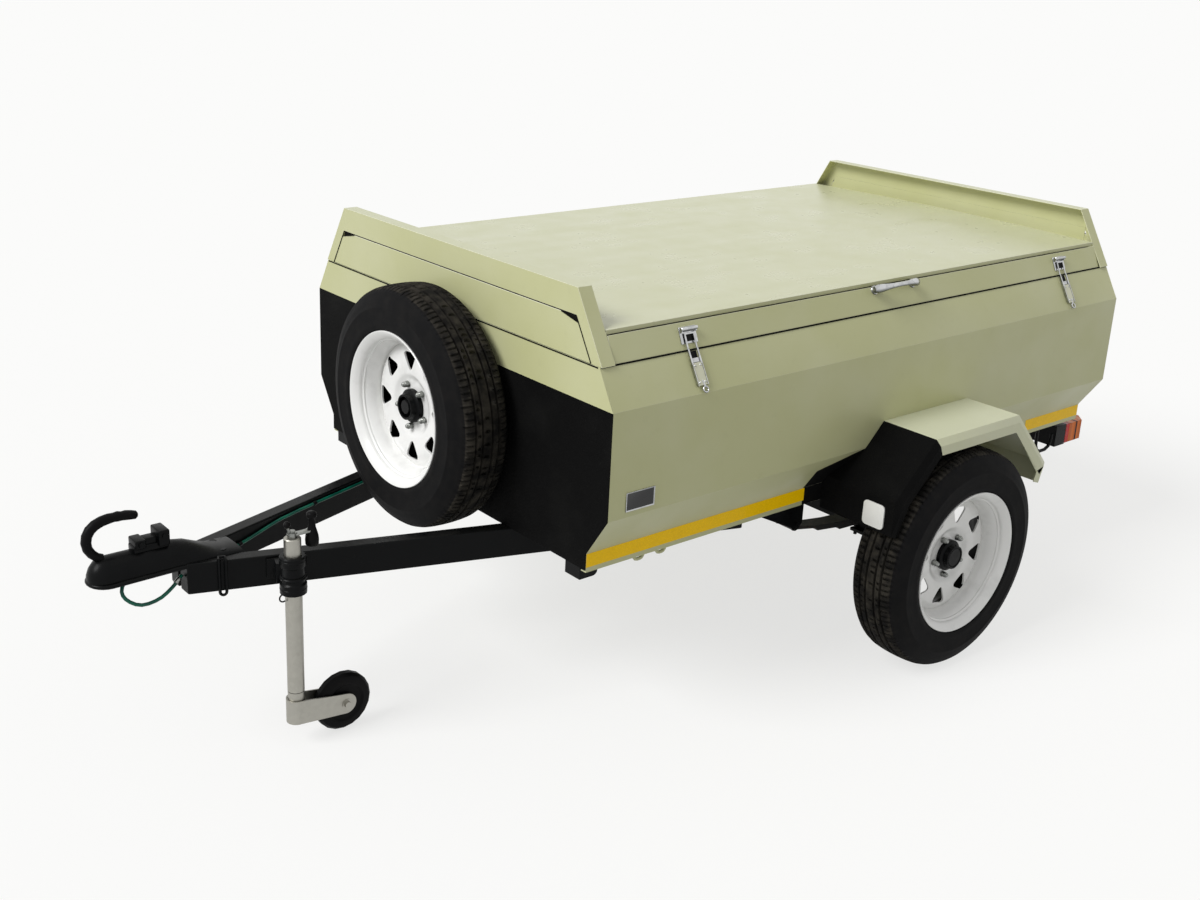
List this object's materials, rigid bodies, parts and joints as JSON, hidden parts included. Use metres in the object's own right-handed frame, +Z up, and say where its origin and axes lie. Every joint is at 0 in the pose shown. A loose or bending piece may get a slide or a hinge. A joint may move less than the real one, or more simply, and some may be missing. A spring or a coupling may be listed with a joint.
{
  "type": "single-axle luggage trailer",
  "caption": "Single-axle luggage trailer: folded steel tub with a side-hinged crowned lid, front-mounted spare wheel, A-frame drawbar, ball coupler and jockey wheel.",
  "frame": {"origin": "middle of the overall length and width, on the ground", "axes": "+X to the trailer's rear, +Y to its right side (the lid's hinge side), +Z up"},
  "size_m": [2.809, 1.584, 1.0357],
  "materials": {
    "khaki_enamel": "gloss khaki enamel",
    "black_paint": "satin black paint",
    "stone_guard": "matte speckled stone guard",
    "rim_enamel": "gloss white enamel",
    "tyre": "matte black",
    "solid_rubber": "matte black",
    "zinc_plate": "zinc plated",
    "chrome_plate": "bright",
    "galvanised_steel": "galvanised",
    "spring_steel": "painted black",
    "cable_sheath": "gloss green",
    "lamp_lens": "gloss, moulded ribs"
  },
  "bodies": {
    "trailer": {"axle_beam": "black_paint", "chassis_rail_left": "black_paint", "chassis_rail_right": "black_paint", "coupler_body": "black_paint", "coupler_lever": "black_paint", "coupler_release": "black_paint", "cross_member_front": "black_paint", "cross_member_middle": "black_paint", "cross_member_rear": "black_paint", "drawbar_left": "black_paint", "drawbar_right": "black_paint", "hinge_leaf_tub": "zinc_plate", "jockey_clamp": "black_paint", "lamp_lens_left": "lamp_lens", "lamp_lens_right": "lamp_lens", "latch_lever_front": "chrome_plate", "latch_lever_rear": "chrome_plate", "leaf_spring_left": "spring_steel", "leaf_spring_right": "spring_steel", "mudguard_left": "khaki_enamel", "mudguard_right": "khaki_enamel", "rear_beam": "black_paint", "rim_spare": "rim_enamel", "safety_cable_loop": "cable_sheath", "safety_hook": "black_paint", "spare_carrier": "black_paint", "tub_floor": "khaki_enamel", "tub_front_wall": "stone_guard", "tub_rear_wall": "khaki_enamel", "tub_side_left": "khaki_enamel", "tub_side_right": "khaki_enamel", "tyre_spare": "tyre"},
    "lid": {"lid_frame_front": "khaki_enamel", "lid_frame_rear": "khaki_enamel", "lid_panel_front": "khaki_enamel", "lid_panel_rear": "khaki_enamel", "lid_skirt_left": "khaki_enamel", "lid_skirt_right": "khaki_enamel", "lid_top": "khaki_enamel", "lid_handle": "chrome_plate", "latch_keeper_front": "chrome_plate", "latch_keeper_rear": "chrome_plate", "hinge_leaf_lid": "zinc_plate"},
    "wheel_left": {"hub_left": "black_paint", "rim_left": "rim_enamel", "tyre_left": "tyre"},
    "wheel_right": {"hub_right": "black_paint", "rim_right": "rim_enamel", "tyre_right": "tyre"},
    "jockey_leg": {"jockey_tube": "galvanised_steel", "jockey_crank": "zinc_plate"},
    "jockey_swivel": {"jockey_fork": "galvanised_steel"},
    "jockey_roller": {"jockey_wheel": "solid_rubber"}
  },
  "joints": [
    {"name": "lid_hinge", "type": "hinge", "parent": "trailer", "child": "lid", "pos_m": [0.4795, 0.555, 0.8875], "axis": [-1, 0, 0], "range_deg": [0, 100]},
    {"name": "wheel_left_spin", "type": "hinge", "parent": "trailer", "child": "wheel_left", "pos_m": [0.4795, -0.718, 0.283], "axis": [0, 1, 0], "continuous": true},
    {"name": "wheel_right_spin", "type": "hinge", "parent": "trailer", "child": "wheel_right", "pos_m": [0.4795, 0.718, 0.283], "axis": [0, 1, 0], "continuous": true},
    {"name": "jockey_leg_slide", "type": "slide", "parent": "trailer", "child": "jockey_leg", "axis": [0, 0, 1], "range_m": [-0.03, 0.2]},
    {"name": "jockey_swivel_turn", "type": "hinge", "parent": "jockey_leg", "child": "jockey_swivel", "pos_m": [-1.0255, -0.15919, 0.13], "axis": [0, 0, 1], "continuous": true},
    {"name": "jockey_roller_spin", "type": "hinge", "parent": "jockey_swivel", "child": "jockey_roller", "pos_m": [-0.9135, -0.15919, 0.0685], "axis": [0, 1, 0], "continuous": true}
  ]
}
